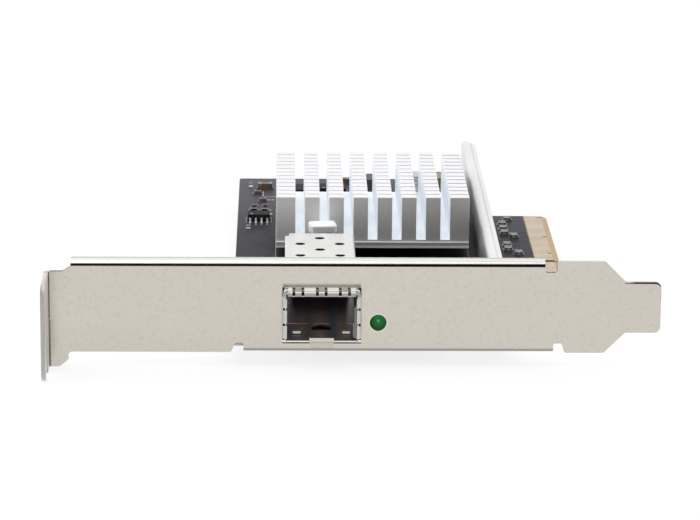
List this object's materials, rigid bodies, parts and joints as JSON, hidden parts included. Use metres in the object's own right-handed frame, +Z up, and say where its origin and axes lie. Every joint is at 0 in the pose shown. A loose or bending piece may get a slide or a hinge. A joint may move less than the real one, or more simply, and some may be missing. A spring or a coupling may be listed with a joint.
{
  "type": "network interface card",
  "caption": "Optical network card with a pluggable-transceiver cage, finned heatsink, edge connector, stiffener rail and full-height bracket.",
  "frame": {"origin": "on the edge connector's contact edge, at the centre of its key notch, in the middle of the board's thickness", "axes": "+X into the slot, +Y from the bracket along the card, +Z up from the component side"},
  "size_m": [0.12, 0.1448, 0.0214],
  "materials": {
    "bracket_steel": "nickel-plated folded steel, satin",
    "screw_steel": "nickel-plated, satin",
    "board_laminate": "glass-epoxy board under black solder mask",
    "gold_plating": "thin gold over nickel",
    "tinned_pads": "tinned copper",
    "cage_steel": "bright nickel-plated sheet",
    "spring_steel": "bright spring sheet",
    "black_moulding": "black heat-resistant moulding",
    "green_lens": "translucent green",
    "sink_aluminium": "extruded and cross-cut, matt",
    "rail_aluminium": "extruded, satin",
    "white_nylon": "moulded nylon",
    "thermal_grey": "soft pad",
    "chip_epoxy": "moulded black epoxy",
    "chip_laminate": "green chip carrier",
    "ceramic_brown": "fired ceramic",
    "resistor_black": "glazed chip",
    "ferrite_grey": "shielded ferrite",
    "capacitor_yellow": "moulded amber epoxy"
  },
  "bodies": {
    "root": {"bracket": "bracket_steel", "bracket_screws": "screw_steel", "circuit_board": "board_laminate", "contacts_component_side": "gold_plating", "contacts_solder_side": "gold_plating", "bracket_ground_pads": "tinned_pads", "cage_shell": "cage_steel", "cage_floor": "cage_steel", "emi_spring_collar": "spring_steel", "port_connector_housing": "black_moulding", "port_connector_contacts": "gold_plating", "status_light_housing": "black_moulding", "status_light_lens": "green_lens", "status_light_leads": "tinned_pads", "heatsink": "sink_aluminium", "heatsink_push_pins": "white_nylon", "push_pin_springs": "spring_steel", "thermal_pad": "thermal_grey", "controller_body": "chip_epoxy", "controller_substrate": "chip_laminate", "controller_solder_balls": "tinned_pads", "stiffener_rail": "rail_aluminium", "rail_screws": "screw_steel", "flash_chip_body": "chip_epoxy", "flash_chip_legs": "tinned_pads", "lane_capacitors": "ceramic_brown", "ceramic_capacitors": "ceramic_brown", "chip_resistors": "resistor_black", "component_terminals": "tinned_pads", "solder_side_capacitors": "ceramic_brown", "power_inductors": "ferrite_grey", "voltage_regulator": "chip_epoxy", "power_stage": "chip_epoxy", "tantalum_capacitors": "capacitor_yellow", "crystal_base": "ceramic_brown", "crystal_can": "cage_steel"}
  },
  "joints": []
}
